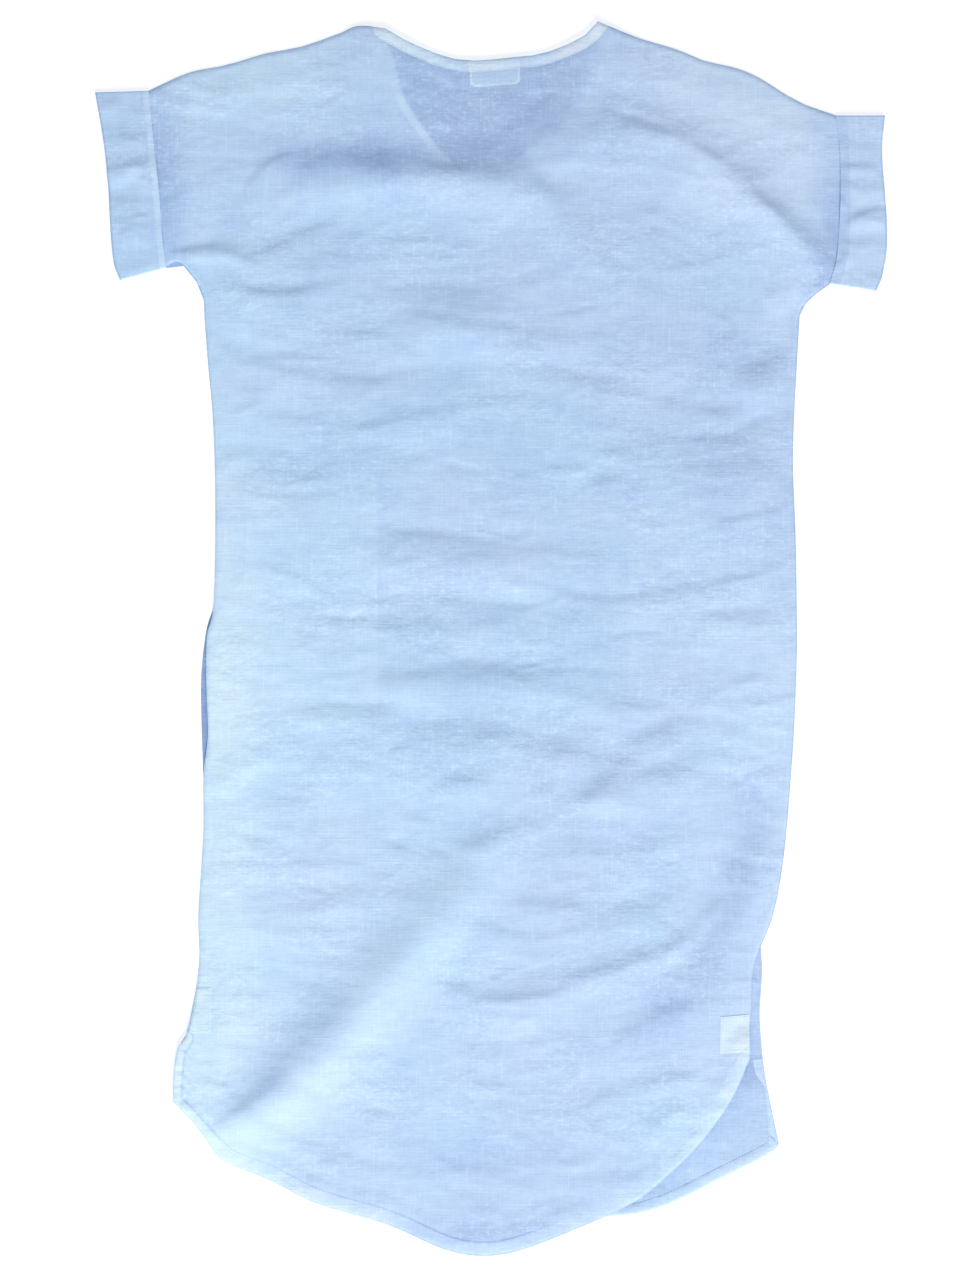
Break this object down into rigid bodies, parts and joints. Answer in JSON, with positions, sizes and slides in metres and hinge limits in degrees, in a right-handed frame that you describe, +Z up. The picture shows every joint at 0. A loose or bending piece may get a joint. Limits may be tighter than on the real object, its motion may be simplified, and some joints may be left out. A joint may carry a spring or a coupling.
{
  "type": "kaftan dress",
  "caption": "Short-sleeved loose linen kaftan dress with turned cuffs, side vents and a curved shirt-tail hem, laid out flat with its back upwards.",
  "frame": {"origin": "under the middle of the box of the dress as laid out, on the surface that it lies on", "axes": "+Y towards the neck, +X towards the sleeve on the right seen from above, +Z up"},
  "size_m": [0.7367, 1.1489, 0.0203],
  "materials": {
    "linen": "fine semi-sheer plain-weave linen with slubs, pale blue, matt",
    "trim": "the same linen in turned or doubled layers, paler where it is more than one cloth thick",
    "label": "smooth white woven tape, blank"
  },
  "bodies": {
    "root": {"back_panel": "linen", "front_panel": "linen", "cuff_left": "linen", "cuff_right": "linen", "neck_facing": "trim", "v_facing": "trim", "hem_back": "trim", "hem_front": "trim", "vent_patch_left": "trim", "vent_patch_right": "trim", "pocket_bag_left": "linen", "pocket_bag_right": "linen", "label": "label"}
  },
  "joints": []
}
